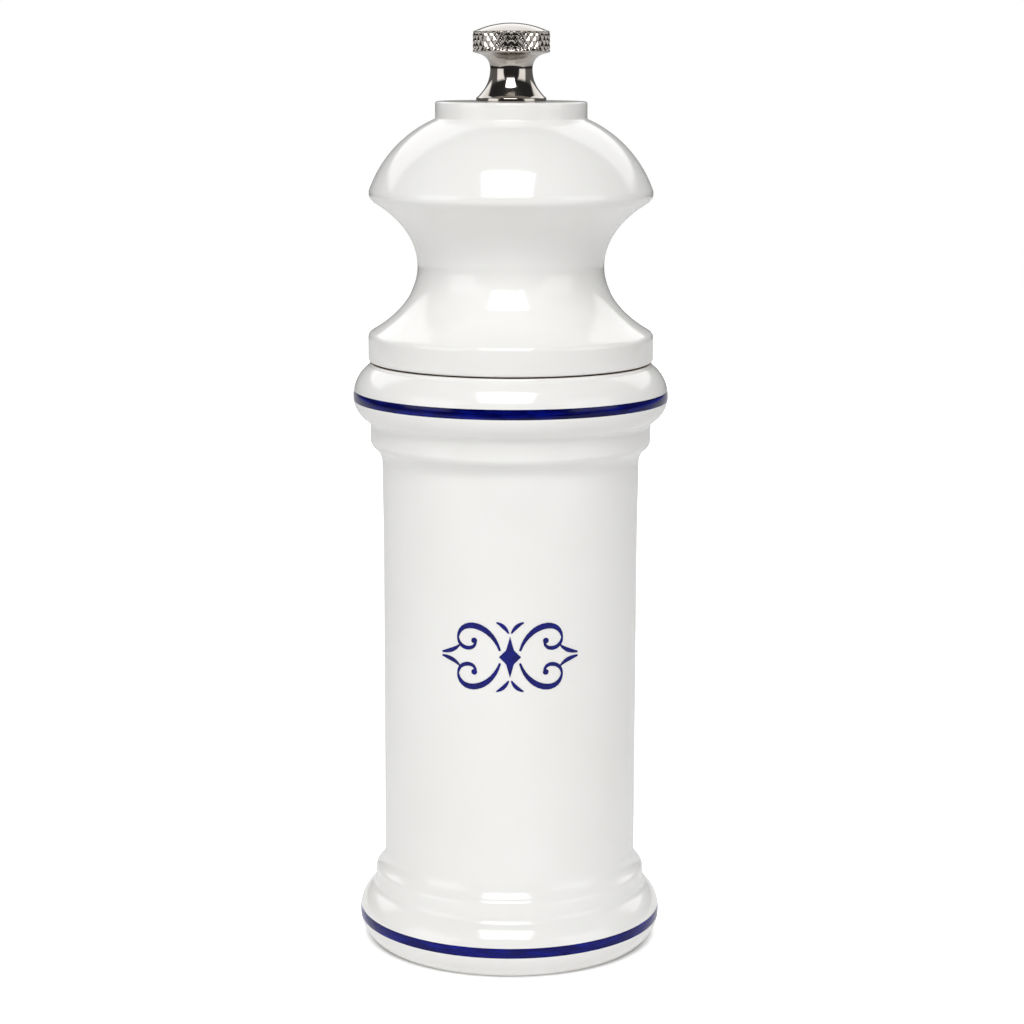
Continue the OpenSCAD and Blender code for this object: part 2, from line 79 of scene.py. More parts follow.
def ogee(r1, z1, r2, z2, q):
    """A step between two radii: a rounding of radius q and a cove that meets it."""
    dr = abs(r2 - r1)
    both = (dr * dr + (z2 - z1) ** 2) / (2 * dr)
    turn = math.degrees(math.acos((both - dr) / both))
    way = 1 if r2 < r1 else -1
    cove = both - q
    first = [(r1 - way * (q - x), z1 + y) for x, y in arc(0, 0, q, 0, turn)]
    second = [(r2 + way * (cove - x), z2 - y) for x, y in arc(0, 0, cove, turn, 0)]
    return first + second[1:]


def cove_radius(wall, z, cx, cz, r):
    """Radius of the cove that leads from a wall at height z to a bulge centred at (cx, cz)."""
    return ((wall - cx) ** 2 + (z - cz) ** 2 - r * r) / (2 * (r - (wall - cx)))


def base_moulding():
    bulge_r = 6.25
    bulge_out = 5.07
    ring_out = 1.88
    cx = column_r + bulge_out - bulge_r
    ring_r = column_r + ring_out
    ring_z = base_bulge_z + 6.5
    cove = cove_radius(ring_r, ring_z, cx, base_bulge_z, bulge_r)
    turn = math.degrees(math.atan2(ring_z - base_bulge_z, ring_r + cove - cx))
    foot = math.degrees(math.asin(base_bulge_z / bulge_r))
    return (arc(cx, base_bulge_z, bulge_r, -foot, turn)
            + arc(ring_r + cove, ring_z, cove, 180 + turn, 180)[1:]
            + ogee(ring_r, ring_z + 1.9, column_r, column_z, 1.6))


def shoulder_moulding():
    ring_r = column_r + 2.45
    low_curve = 5.6
    high_curve = 7.24
    bulge_r = column_r + 5.75
    low_cx = bulge_r - low_curve
    high_cx = bulge_r - high_curve
    wall_z = shoulder_z - 6
    cove = cove_radius(ring_r, wall_z, low_cx, shoulder_z, low_curve)
    turn = math.degrees(math.atan2(shoulder_z - wall_z, ring_r + cove - low_cx))
    seam_turn = math.degrees(math.asin((seam_z - shoulder_z - seam_lip) / high_curve))
    seam_r = high_cx + high_curve * math.cos(math.radians(seam_turn))
    return (ogee(column_r + 0.2, column_top, ring_r, column_top + 4.6, 3.8)
            + arc(ring_r + cove, wall_z, cove, 180, 180 - turn)
            + arc(low_cx, shoulder_z, low_curve, -turn, 0)[1:]
            + arc(high_cx, shoulder_z, high_curve, 2, seam_turn)
            + arc(seam_r - seam_lip, seam_z - seam_lip, seam_lip, 20, 90, 6))


def along_column():
    """Rings up the plain column, close together where it meets the mouldings."""
    flare_z = column_top - 14
    rings = [(column_r, column_z + up) for up in (0.3, 0.9, 2, 4)]
    rings += [(column_r, column_z + 8 + 8 * i) for i in range(7)]
    rings += [(column_r + 0.2 * i / 6, flare_z + 14 * i / 6) for i in range(6)]
    return rings + [(column_r + 0.19, column_top - 0.5)]


def outside():
    return base_moulding() + along_column() + shoulder_moulding()


def cut_at(line, z):
    """The outline with a point added where it crosses the height z."""
    cut = []
    for a, b in zip(line, line[1:] + [None]):
        cut.append(a)
        if b and (a[1] - z) * (b[1] - z) < 0:
            t = (z - a[1]) / (b[1] - a[1])
            cut.append((a[0] + t * (b[0] - a[0]), z))
    return cut


def turned(name, line, skins, finishes, steps=256, crease=30):
    """A mesh turned from a closed outline. Each skin is a finish's number for the span after a point."""
    verts = []
    rings = []
    for r, z in line:
        count = steps if r > 1e-6 else 1
        rings.append([len(verts) + i % count for i in range(steps)])
        for i in range(count):
            a = 2 * math.pi * i / steps
            verts.append((r * math.cos(a) / 1000, r * math.sin(a) / 1000, z / 1000))
    faces = []
    marks = []
    for k in range(len(line)):
        low = rings[k]
        high = rings[(k + 1) % len(line)]
        for i in range(steps):
            j = (i + 1) % steps
            face = [low[i], low[j], high[j], high[i]]
            corners = [v for n, v in enumerate(face) if v not in face[:n]]
            if len(corners) > 2:
                faces.append(corners)
                marks.append(skins[k])
    return made(name, verts, faces, finishes, marks, crease)


def made(name, verts, faces, finishes, marks=None, crease=30):
    """An object from points in metres, smooth but for creases sharper than the angle given."""
    mesh = bpy.data.meshes.new(name)
    mesh.from_pydata(verts, [], faces)
    for finish in finishes:
        mesh.materials.append(finish)
    if marks:
        mesh.polygons.foreach_set("material_index", marks)
    mesh.shade_smooth()
    mesh.set_sharp_from_angle(angle=math.radians(crease))
    mesh.validate()
    piece = bpy.data.objects.new(name, mesh)
    bpy.context.scene.collection.objects.link(piece)
    return piece


class Feed:
    """A value, colour or direction on its way through a finish's nodes."""

    def __init__(self, tree, socket=None):
        self.tree = tree
        self.socket = socket

    def node(self, kind, settings, feeds, out=0):
        node = self.tree.nodes.new(kind)
        for name, value in settings.items():
            setattr(node, name, value)
        for name, value in feeds.items():
            if isinstance(value, Feed):
                self.tree.links.new(value.socket, node.inputs[name])
            else:
                node.inputs[name].default_value = value
        return Feed(self.tree, node.outputs[out])

    def math(self, operation, *values):
        return self.node("ShaderNodeMath", {"operation": operation}, dict(enumerate(values)))

    def __add__(self, other):
        return self.math("ADD", self, other)

    def __mul__(self, other):
        return self.math("MULTIPLY", self, other)

    def __sub__(self, other):
        return self.math("SUBTRACT", self, other)

    def __rsub__(self, other):
        return self.math("SUBTRACT", other, self)

    __radd__ = __add__
    __rmul__ = __mul__

    def spread(self, low, high, to_low=0, to_high=1):
        """The value stretched from one range to another, held at both ends."""
        return self.node("ShaderNodeMapRange", {"clamp": True},
                         {"Value": self, "From Min": low, "From Max": high,
                          "To Min": to_low, "To Max": to_high})

    def axis(self, name):
        return self.node("ShaderNodeSeparateXYZ", {}, {0: self}, name)

    def stretched(self, x, y, z):
        """The place measured with a different scale along each axis, per metre."""
        return self.node("ShaderNodeVectorMath", {"operation": "MULTIPLY"},
                         {0: self, 1: (x, y, z)})

    def noise(self, scale, detail=3, roughness=0.5, distortion=0):
        return self.node("ShaderNodeTexNoise", {},
                         {"Vector": self, "Scale": scale, "Detail": detail,
                          "Roughness": roughness, "Distortion": distortion})

    def between(self, first, second):
        """A colour between two others, where the value is the share of the second."""
        return self.node("ShaderNodeMix", {"data_type": "RGBA"},
                         {0: self, 6: second_or(first), 7: second_or(second)}, 2)

    def bump(self, depth, strength):
        """A surface raised by the value, where depth is the height in metres of a full step."""
        return self.node("ShaderNodeBump", {},
                         {"Strength": strength, "Distance": depth, "Height": self})

    def round_axis(self):
        """Place laid out as (metres round a circle of 25 mm, distance from the axis, height)."""
        x = self.axis("X")
        y = self.axis("Y")
        turn = self.math("ARCTAN2", x, 0 - y) * 0.025
        away = self.math("SQRT", x * x + y * y)
        return self.node("ShaderNodeCombineXYZ", {}, {0: turn, 1: away, 2: self.axis("Z")})


def second_or(colour):
    return colour if isinstance(colour, Feed) else (*colour, 1)


def finish(name, fixed, shade):
    """A material: fixed sockets of the shader, and those that shade works out from the place."""
    material = bpy.data.materials.new(name)
    material.use_nodes = True
    tree = material.node_tree
    shader = tree.nodes["Principled BSDF"]
    for socket, value in fixed.items():
        shader.inputs[socket].default_value = value
    place = Feed(tree).node("ShaderNodeTexCoord", {}, {}, "Object")
    for socket, feed in shade(place).items():
        tree.links.new(feed.socket, shader.inputs[socket])
    return material


def lacquer_shade(place):
    cloud = place.noise(35, 3)
    grain = place.stretched(900, 900, 60).noise(1, 4, 0.6)
    peel = place.noise(900, 2)
    wiped = place.round_axis().stretched(60, 60, 420).noise(1, 5, 0.6)
    colour = cloud.spread(0.35, 0.65).between((0.885, 0.877, 0.855), (0.912, 0.906, 0.888))
    height = peel * 0.6 + grain * 0.4
    return {"Base Color": colour,
            "Roughness": wiped.spread(0.3, 0.75, 0.055, 0.12),
            "Normal": height.bump(0.0000035, 0.6)}


def bare_wood_shade(place):
    log = place.stretched(1, 1, 0.06).noise(140, 3, 0.5, 0.4)
    x = place.axis("X") - 0.034
    y = place.axis("Y") - 0.021
    growth = (x * x + y * y).math("SQRT", x * x + y * y) * 900 + log * 1.6
    rings = growth.math("FRACT", growth)
    pores = place.stretched(2600, 2600, 220).noise(1, 3, 0.6)
    tint = rings.spread(0.1, 0.95).between((0.52, 0.33, 0.18), (0.37, 0.21, 0.105))
    colour = pores.spread(0.56, 0.72, 0, 0.7).between(tint, (0.2, 0.105, 0.05))
    marks = place.round_axis().axis("Z") * 9000
    turned_marks = marks.math("SINE", marks) * 0.3
    return {"Base Color": colour,
            "Roughness": pores.spread(0.3, 0.7, 0.5, 0.68),
            "Normal": (pores * 0.8 + turned_marks + rings * 0.3).bump(0.00002, 0.7)}


lacquer = finish("white_gloss_lacquer", {"IOR": 1.5}, lacquer_shade)
bare_wood = finish("bare_turned_wood", {"IOR": 1.45}, bare_wood_shade)

section = outside()
bands = (base_bulge_z + band_rise, shoulder_z + band_rise)
for z in bands:
    section = cut_at(cut_at(section, z - band_w / 2), z + band_w / 2)


def under_paint(r, z):
    """The outline let in by one film of paint under each band."""
    inside = any(abs(z - band) < band_w / 2 - 1e-6 for band in bands)
    return (r - paint_t, z) if inside else (r, z)


sprayed = len(section)
section = [under_paint(r, z) for r, z in section]
section += [(groove_high_r, seam_z - body_groove), (groove_low_r, seam_z - body_groove),
            (seat_r, seam_z),
            (chamber_r + 0.8, seam_z), (chamber_r, seam_z - 0.8), (chamber_r, 60),
            (chamber_r, ledge_z), (recess_r, ledge_z), (recess_r, 0.4), (recess_r + 0.4, 0)]
skins = [0] * (sprayed - 3) + [1] * (len(section) - sprayed + 3)
body = turned("turned_body", section, skins, [lacquer, bare_wood])
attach(body, "mill")
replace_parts(body, "mill_body")


# ---- Painted bands ----
# Two lines of blue gloss paint, laid with a brush while the body turns in the lathe, one
# round the widest part of the base and one round the shoulder. The brush leaves streaks
# along the line, thin where the white shows a lighter blue.
def band_shade(deep, bright):
    def shade(place):
        lap = place.round_axis()
        bristles = lap.stretched(110, 400, 5200).noise(1, 4, 0.65)
        puddles = lap.stretched(260, 400, 900).noise(1, 3, 0.5, 0.5)
        thin = (bristles * 0.6 + puddles * 0.4).spread(0.47, 0.66)
        return {"Base Color": thin.between(deep, bright),
                "Roughness": bristles.spread(0.3, 0.7, 0.08, 0.2),
                "Normal": bristles.bump(0.00001, 0.5)}
    return shade


def painted_band(name, z, paint):
    line = cut_at(cut_at(outside(), z - band_w / 2), z + band_w / 2)
    film = [p for p in line if abs(p[1] - z) < band_w / 2 + 1e-6]
    back = [(r - paint_t, z) for r, z in reversed(film)]
    band = turned(name, film + back, [0] * (2 * len(film)), [paint], crease=60)
    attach(band, "mill")
    return band


# Both bands are one blue paint, mixed darker for the shoulder band and lighter for the base band:
# painted shade and painted light for how each band is lit.
shaded_shoulder_paint = finish("shoulder_band_blue", {"IOR": 1.3},
                        band_shade((0.0005, 0.0008, 0.055), (0.0015, 0.009, 0.26)))
lit_base_paint = finish("base_band_blue", {"IOR": 1.3},
                    band_shade((0.0004, 0.0006, 0.09), (0.001, 0.008, 0.3)))
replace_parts(painted_band("painted_base_band", bands[0], lit_base_paint), "base_band")
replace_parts(painted_band("painted_shoulder_band", bands[1], shaded_shoulder_paint), "shoulder_band")


# ---- Painted ornament ----
# A flourish of scrolls in cobalt blue on the front of the column, printed as a thin film.
# Its colour varies a little darker and lighter in soft pools.
def ornament_shade(place):
    pool = place.noise(900, 3)
    fine = place.noise(6000, 2)
    colour = pool.spread(0.35, 0.65).between((0.0008, 0.002, 0.11), (0.0015, 0.005, 0.19))
    return {"Base Color": colour,
            "Roughness": fine.spread(0.3, 0.7, 0.12, 0.24),
            "Normal": (pool * 0.7 + fine * 0.3).bump(0.000008, 0.5)}


def recoat(node, coat):
    """Gives a CAD node the finish named, in every slot that it has."""
    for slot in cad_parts[node].material_slots:
        slot.material = coat


recoat("front_ornament", finish("ornament_blue", {"IOR": 1.35}, ornament_shade))


# ---- Grinder housing and cage ----
# A cup of black moulded nylon that goes up the bore from below. Its flange sits in the
# recess, and a cage of three spokes pressed into it carries the bearing of the shaft.
def moulded_shade(place):
    texture = place.noise(2600, 2)
    flow = place.noise(90, 3, 0.5, 0.6)
    scuff = place.stretched(300, 300, 2200).noise(1, 4, 0.7)
    colour = flow.spread(0.3, 0.7).between((0.014, 0.014, 0.015), (0.022, 0.022, 0.024))
    rubbed = scuff.spread(0.62, 0.8, 0, 0.6).between(colour, (0.05, 0.05, 0.052))
    return {"Base Color": rubbed,
            "Roughness": (texture * 0.5 + scuff * 0.5).spread(0.35, 0.65, 0.38, 0.58),
            "Normal": texture.bump(0.00002, 0.35)}


def eased(node, name, coat, ease, body_name):
    """The node's own shape with its sharp edges eased by a small bevel, to stand for it."""
    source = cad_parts[node]
    mesh = bpy.data.meshes.new(name)
    work = bmesh.new()
    work.from_mesh(source.data)
    bmesh.ops.remove_doubles(work, verts=work.verts, dist=1e-6)
    bmesh.ops.dissolve_limit(work, angle_limit=math.radians(0.6), verts=work.verts,
                             edges=work.edges)
    sharp = [e for e in work.edges
             if len(e.link_faces) == 2 and e.calc_face_angle() > math.radians(38)]
    bmesh.ops.bevel(work, geom=sharp, offset=ease, segments=2, profile=0.6,
                    affect="EDGES", clamp_overlap=True)
    work.to_mesh(mesh)
    work.free()
    mesh.materials.clear()
    mesh.materials.append(coat)
    mesh.polygons.foreach_set("material_index", [0] * len(mesh.polygons))
    mesh.shade_smooth()
    mesh.set_sharp_from_angle(angle=math.radians(30))
    piece = bpy.data.objects.new(name, mesh)
    bpy.context.scene.collection.objects.link(piece)
    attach(piece, body_name)
    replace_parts(piece, node)


moulded = finish("moulded_black_nylon", {"IOR": 1.5}, moulded_shade)
eased("stator_housing", "grinder_housing", moulded, 0.0002, "mill")
eased("cage", "bearing_cage", moulded, 0.0002, "mill")


# ---- Ceramic grinding pieces ----
# The ring in the housing and the cone that turns in it are pressed and fired ceramic, with
# coarse grooves that draw the grains in and fine ones that cut them.
def ceramic_shade(place):
    specks = place.noise(5200, 2, 0.6)
    tone = place.noise(160, 3)
    dust = place.stretched(500, 500, 1500).noise(1, 4, 0.7)
    fired = tone.spread(0.3, 0.7).between((0.82, 0.78, 0.69), (0.88, 0.85, 0.77))
    speckled = specks.spread(0.66, 0.74, 0, 0.5).between(fired, (0.5, 0.42, 0.32))
    colour = dust.spread(0.58, 0.75, 0, 0.35).between(speckled, (0.62, 0.55, 0.44))
    return {"Base Color": colour,
            "Roughness": specks.spread(0.3, 0.7, 0.45, 0.62),
            "Normal": (specks * 0.6 + dust * 0.4).bump(0.00002, 0.5)}


ceramic = finish("fired_ceramic", {"IOR": 1.6}, ceramic_shade)
recoat("stator", ceramic)
recoat("rotor", ceramic)


# ---- Steel parts under the mill and along its axis ----
# The bottom bar, the drive plate and the washer are stamped from sheet, and the shaft is
# drawn square and threaded at its top. All are plain steel with a satin mill finish.
def steel_shade(place):
    drawn = place.stretched(3800, 3800, 90).noise(1, 4, 0.65)
    cloud = place.noise(220, 3)
    nicks = place.noise(3000, 2, 0.4)
    tone = cloud.spread(0.3, 0.7).between((0.47, 0.48, 0.49), (0.6, 0.6, 0.61))
    colour = nicks.spread(0.68, 0.76, 0, 0.5).between(tone, (0.3, 0.29, 0.28))
    return {"Base Color": colour,
            "Roughness": (drawn * 0.6 + cloud * 0.4).spread(0.35, 0.65, 0.24, 0.42),
            "Normal": (drawn * 0.7 + nicks * 0.3).bump(0.000012, 0.5)}


steel = finish("satin_steel", {"Metallic": 1.0}, steel_shade)
eased("bottom_bar", "pivot_bar", steel, 0.0002, "mill")
eased("bar_screws", "pivot_bar_screws", steel, 0.0002, "mill")
eased("spring_washer", "thrust_washer", steel, 0.00012, "spring_set")
eased("shaft_clip", "spring_clip", steel, 0.0001, "grinder")
eased("rotor_hub", "cone_hub", moulded, 0.00015, "grinder")


# ---- Shaft ----
# A square bar with a round pivot at its foot and a thread at its head for the knob. The
# thread is rolled, so its crests stand no higher than the plain shank.
thread_crest = 2.4
thread_root = 2.0
thread_pitch = 0.8
thread_low = 150.56
shaft_top = 172.56
pivot_foot = 2.0
square_low = 6.5
shaft_half = 2.5


def threaded_end(steps=64):
    """The rolled thread as a grid whose rings each rise by a pitch in one turn."""
    verts = []
    rows = round((shaft_top - thread_low) / thread_pitch * 12)
    for k in range(rows + 1):
        z = thread_low + (shaft_top - thread_low) * k / rows
        for i in range(steps):
            wave = (z / thread_pitch - i / steps) % 1
            flank = min(1, max(0, (abs(wave - 0.5) * 2 - 0.12) / 0.76))
            fade = min(1, (z - thread_low) / 0.8)
            point = min(1, (shaft_top - z) / 0.6)
            r = thread_crest - (thread_crest - thread_root) * flank * fade
            r = min(r, thread_crest - 0.5 + 0.5 * point)
            a = 2 * math.pi * i / steps
            verts.append((r * math.cos(a) / 1000, r * math.sin(a) / 1000, z / 1000))
    faces = [[k * steps + i, k * steps + (i + 1) % steps,
              (k + 1) * steps + (i + 1) % steps, (k + 1) * steps + i]
             for k in range(rows) for i in range(steps)]
    faces.append([rows * steps + i for i in range(steps)])
    return verts, faces


def add_turned(verts, faces, line, steps):
    """Adds an open turned skin and caps its two ends."""
    start = len(verts)
    for r, z in line:
        for i in range(steps):
            a = 2 * math.pi * i / steps
            verts.append((r * math.cos(a) / 1000, r * math.sin(a) / 1000, z / 1000))
    for k in range(len(line) - 1):
        for i in range(steps):
            j = (i + 1) % steps
            faces.append([start + k * steps + i, start + k * steps + j,
                          start + (k + 1) * steps + j, start + (k + 1) * steps + i])
    faces.append([start + i for i in reversed(range(steps))])
    faces.append([start + (len(line) - 1) * steps + i for i in range(steps)])


def add_square(verts, faces, half, z0, z1, ease):
    """Adds a square bar on the axis with eased corners."""
    start = len(verts)
    ring = [(half, -half + ease), (half, half - ease), (half - ease, half), (ease - half, half),
            (-half, half - ease), (-half, ease - half), (ease - half, -half),
            (half - ease, -half)]
    levels = [(z0, 1 - ease / half), (z0 + ease, 1), (z1 - ease, 1), (z1, 1 - ease / half)]
    for z, share in levels:
        verts.extend((x * share / 1000, y * share / 1000, z / 1000) for x, y in ring)
    for k in range(3):
        for i in range(8):
            j = (i + 1) % 8
            faces.append([start + k * 8 + i, start + k * 8 + j,
                          start + (k + 1) * 8 + j, start + (k + 1) * 8 + i])
    faces.append([start + i for i in reversed(range(8))])
    faces.append([start + 24 + i for i in range(8)])


verts, faces = threaded_end()
add_square(verts, faces, shaft_half, square_low, thread_low, 0.18)
pivot = [(1.95, pivot_foot), (2.3, pivot_foot + 0.35), (2.3, 5.78), (1.8, 5.8), (1.8, 6.5)]
add_turned(verts, faces, pivot, 48)
shaft = made("threaded_shaft", verts, faces, [steel], crease=28)
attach(shaft, "grinder")
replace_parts(shaft, "shaft")


# ---- Spring ----
# A coil of bright spring wire between the hub and the washer. Its end turns lie flat. In the mill
# the turns close up when the knob draws the shaft upward; here the coil is built at one length.
wire_r = 0.45
coil_r = 4.6
coil_turns = 5.5
coil_low = 21.2
coil_high = 31.7


def wire_height(turn):
    share = min(1, max(0, (turn - 0.75) / (coil_turns - 1.5)))
    share = share * share * (3 - 2 * share) * 0.25 + share * 0.75
    return coil_low + wire_r + (coil_high - coil_low - 2 * wire_r) * share


def wound_wire(sides=14, per_turn=40):
    count = round(coil_turns * per_turn)
    verts = []
    for i in range(count + 1):
        turn = i / per_turn
        a = -2 * math.pi * turn
        end = min(i, count - i)
        thin = 0.82 if end == 0 else 1
        for k in range(sides):
            b = 2 * math.pi * k / sides
            r = coil_r + wire_r * thin * math.cos(b)
            z = wire_height(turn) + wire_r * thin * math.sin(b)
            verts.append((r * math.cos(a) / 1000, r * math.sin(a) / 1000, z / 1000))
    faces = [[i * sides + k, (i + 1) * sides + k, (i + 1) * sides + (k + 1) % sides,
              i * sides + (k + 1) % sides] for i in range(count) for k in range(sides)]
    faces.append(list(range(sides)))
    faces.append([count * sides + k for k in reversed(range(sides))])
    return verts, faces


def wire_shade(place):
    drawn = place.round_axis().stretched(120, 5000, 5000).noise(1, 3, 0.6)
    tone = place.noise(700, 2)
    colour = tone.spread(0.3, 0.7).between((0.48, 0.48, 0.47), (0.64, 0.64, 0.63))
    return {"Base Color": colour,
            "Roughness": drawn.spread(0.3, 0.7, 0.16, 0.3),
            "Normal": drawn.bump(0.000006, 0.5)}


wire = finish("bright_spring_wire", {"Metallic": 1.0}, wire_shade)
verts, faces = wound_wire()
spring = made("coil_spring", verts, faces, [wire], crease=50)
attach(spring, "spring_set")
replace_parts(spring, "spring")
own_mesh(spring)


# ---- Turned head ----
# The head is turned from the same wood as the body and sprayed with the same lacquer. The
# spigot under it, which centres it in the body's mouth, stays bare and is cut square.
head_bore_r = 4
spigot_r = 17.2
spigot_z = 106.85
seat_z = seam_z + 0.005
plate_r = 15
plate_t = 1.2
waist_z = 134.65
waist_r = 18.1
waist_half = 12.35
head_ring_r = 27.76
head_top = 166.16


def curve(a, b, c, d, n=30):
    """Points along a free curve, without its first point."""
    points = []
    for i in range(1, n + 1):
        t = i / n
        s = 1 - t
        w = (s * s * s, 3 * s * s * t, 3 * s * t * t, t * t * t)
        points.append(tuple(sum(k * p[j] for k, p in zip(w, (a, b, c, d))) for j in (0, 1)))
    return points


def head_outside():
    slope = math.radians(58.7)
    pull_in = 8.54 * math.sin(slope)
    pull_up = 8.54 * math.cos(slope)
    rim_r = column_r + 2.45
    end_r = rim_r - 0.86
    low = (end_r, waist_z - waist_half)
    high = (end_r, waist_z + waist_half)
    dome_z = waist_z + waist_half + 1.5
    dome_curve = 23.33
    start = 18.3
    cx = rim_r - dome_curve * math.cos(math.radians(start)) + 0.12
    cz = dome_z - dome_curve * math.sin(math.radians(start)) + 0.25
    cove = 0.55
    collar_r = 14.63
    stop = math.degrees(math.acos((collar_r + cove - cx) / dome_curve))
    collar_z = cz + dome_curve * math.sin(math.radians(stop)) + cove * 0.6
    return (arc(head_ring_r - seam_lip, seam_z + seam_gap + seam_lip, seam_lip, -90, 0, 6)
            + [(head_ring_r, seam_z + 2.5)]
            + arc(head_ring_r - 1.35, seam_z + 4.9, 1.35, 0, 50.7, 3)
            + curve(low, (low[0] - pull_in, low[1] + pull_up), (waist_r, waist_z - 2.85),
                    (waist_r, waist_z))
            + curve((waist_r, waist_z), (waist_r, waist_z + 2.85),
                    (high[0] - pull_in, high[1] - pull_up), high)
            + arc(rim_r - 1.25, dome_z, 1.25, -33.7, 0, 3)
            + arc(cx, cz, dome_curve, start + 1, stop, 1.2)
            + arc(collar_r + cove, collar_z + cove * 0.4, cove, 225, 180, 5)
            + [(collar_r, collar_z + 1.6)]
            + arc(collar_r - 0.4, head_top - 0.4, 0.4, 0, 90, 6))


section = head_outside()
sprayed = len(section)
section += [(13, head_top), (7.4, head_top), (head_bore_r + 0.3, head_top),
            (head_bore_r, head_top - 0.3), (head_bore_r, 140), (head_bore_r, spigot_z + plate_t),
            (plate_r, spigot_z + plate_t), (plate_r, spigot_z + 0.2), (plate_r + 0.2, spigot_z),
            (spigot_r - 0.5, spigot_z), (spigot_r, spigot_z + 0.5), (spigot_r, seat_z),
            (seat_r, seat_z), (groove_low_r, seam_z + head_groove),
            (groove_high_r, seam_z + head_groove)]
skins = [1] * 2 + [0] * (sprayed + 1) + [1] * (len(section) - sprayed - 3)
head = turned("turned_head", section, skins, [lacquer, bare_wood])
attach(head, "head")
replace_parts(head, "head")


# ---- Drive plate ----
# A steel disc with a square hole, let into the foot of the spigot and held by three
# countersunk screws. It turns the shaft with the head.
eased("drive_plate", "stamped_drive_plate", steel, 0.0001, "head")
eased("drive_plate_screws", "countersunk_screws", steel, 0.00008, "head")


# ---- Knob ----
# A nut turned from brass bar and nickel plated. Its rim is rolled with a diamond knurl,
# over and under which the edges stay smooth, and its top is a low polished dome.
knob_r = 7.4
knob_foot_r = 6.75
knob_waist_r = 4.06
knob_top = 181.01
knob_rim_low = 175.61
knob_rim_high = 179.51
knob_edge = 0.45
knurl_count = 32
knurl_depth = 0.35
knurl_lean = math.radians(36)
knob_hole_r = 2.46
knob_hole_top = 175.96


def knurled_radius(turn, z, r):
    """Radius at a turn and a height, let in where a groove of either lean passes."""
    middle = (knob_rim_low + knob_rim_high) / 2
    pitch = 2 * math.pi * knob_r / knurl_count
    depth = 0
    for lean in (-1, 1):
        run = turn * knob_r / pitch + lean * (z - middle) * math.tan(knurl_lean) / pitch
        off = abs(run - round(run)) * pitch * math.cos(knurl_lean)
        depth = max(depth, knurl_depth - off * 0.86)
    fade = min(1, max(0, (z - knob_rim_low - 0.12) / 0.4))
    fade = min(fade, max(0, (knob_rim_high - 0.1 - z) / 0.4))
    return r - depth * fade


def knurled_knob():
    steps = knurl_count * 24
    rim = knob_r - knob_edge
    dome_h = knob_top - knob_rim_high
    dome_curve = (rim * rim + dome_h * dome_h) / (2 * dome_h)
    dome_turn = math.degrees(math.asin(rim / dome_curve))
    rise = 2 * math.pi * knob_r / steps / math.tan(knurl_lean)
    rows = round((knob_rim_high - knob_rim_low - knob_edge) / rise)
    straight = [(knob_r, knob_rim_low + 0.15 + (knob_rim_high - knob_rim_low - knob_edge - 0.15)
                 * i / rows) for i in range(rows + 1)]
    line = ([(knob_foot_r - 0.1, head_top), (knob_foot_r, head_top + 0.1)]
            + arc(knob_foot_r - 0.25, head_top + 0.55, 0.25, 0, 60, 10)
            + curve((knob_foot_r - 0.25, head_top + 0.8), (knob_foot_r - 1.5, head_top + 2.15),
                    (knob_waist_r, head_top + 3.55), (knob_waist_r, head_top + 6.2), 22)
            + curve((knob_waist_r, head_top + 6.2), (knob_waist_r, knob_rim_low - 2),
                    (knob_waist_r + 0.7, knob_rim_low - 0.75),
                    (knob_r - 0.8, knob_rim_low - 0.35), 22)
            + arc(knob_r - knob_edge, knob_rim_low + 0.15, knob_edge, -45, -6, 9)
            + straight
            + arc(knob_r - knob_edge, knob_rim_high - knob_edge, knob_edge, 8, 64, 8)
            + arc(0, knob_top - dome_curve, dome_curve, 90 - dome_turn, 90, 1)[1:-1]
            + [(0, knob_top)])
    inside = [(0, knob_hole_top), (knob_hole_r, knob_hole_top - 1.2),
              (knob_hole_r, head_top + 0.35), (knob_hole_r + 0.35, head_top)]
    return turned("knurled_knob", line + inside, [0] * (len(line) + len(inside)), [nickel],
                  steps=steps, crease=24)


def nickel_shade(place):
    polish = place.stretched(500, 500, 2600).noise(1, 4, 0.6)
    smear = place.noise(260, 3)
    colour = smear.spread(0.3, 0.7).between((0.4, 0.372, 0.34), (0.48, 0.45, 0.415))
    return {"Base Color": colour,
            "Roughness": (polish * 0.5 + smear * 0.5).spread(0.35, 0.65, 0.05, 0.13),
            "Normal": polish.bump(0.000002, 0.4)}


nickel = finish("bright_nickel_plate", {"Metallic": 1.0}, nickel_shade)
knob = knurled_knob()
for vert in knob.data.vertices:
    x, y, z = vert.co * 1000
    r = math.hypot(x, y)
    if knob_rim_low < z < knob_rim_high and r > knob_r - knob_edge:
        share = knurled_radius(math.atan2(y, x), z, r) / r
        vert.co = (x * share / 1000, y * share / 1000, z / 1000)
knob.data.set_sharp_from_angle(angle=math.radians(24))
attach(knob, "knob")
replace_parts(knob, "knob")


# ---- Studio ----
# A white table under one soft light hung in front of and above the mill, between two pale
# screens, with a third panel high behind. The space in front is dark, and the nickel mirrors it.
def floor_shade(place):
    grain = place.noise(400, 3)
    x = place.axis("X")
    y = place.axis("Y")
    away = x.math("SQRT", x * x + y * y)
    # For the camera the table glows white, dimming near the mill's foot and dark right under its edge: a
    # painted contact shadow. Seen by the mill it glows only faintly.
    glow_with_painted_shadow = away.spread(0.0275, 0.0312, 0, 0.86) + away.spread(0.0312, 0.06, 0, 0.14)
    seen = place.node("ShaderNodeLightPath", {}, {}, "Is Camera Ray")
    glow = seen * glow_with_painted_shadow + (1 - seen) * 0.15
    return {"Base Color": grain.between((0.8, 0.8, 0.8), (0.84, 0.84, 0.84)),
            "Roughness": grain.spread(0.3, 0.7, 0.55, 0.65),
            "Emission Color": glow}


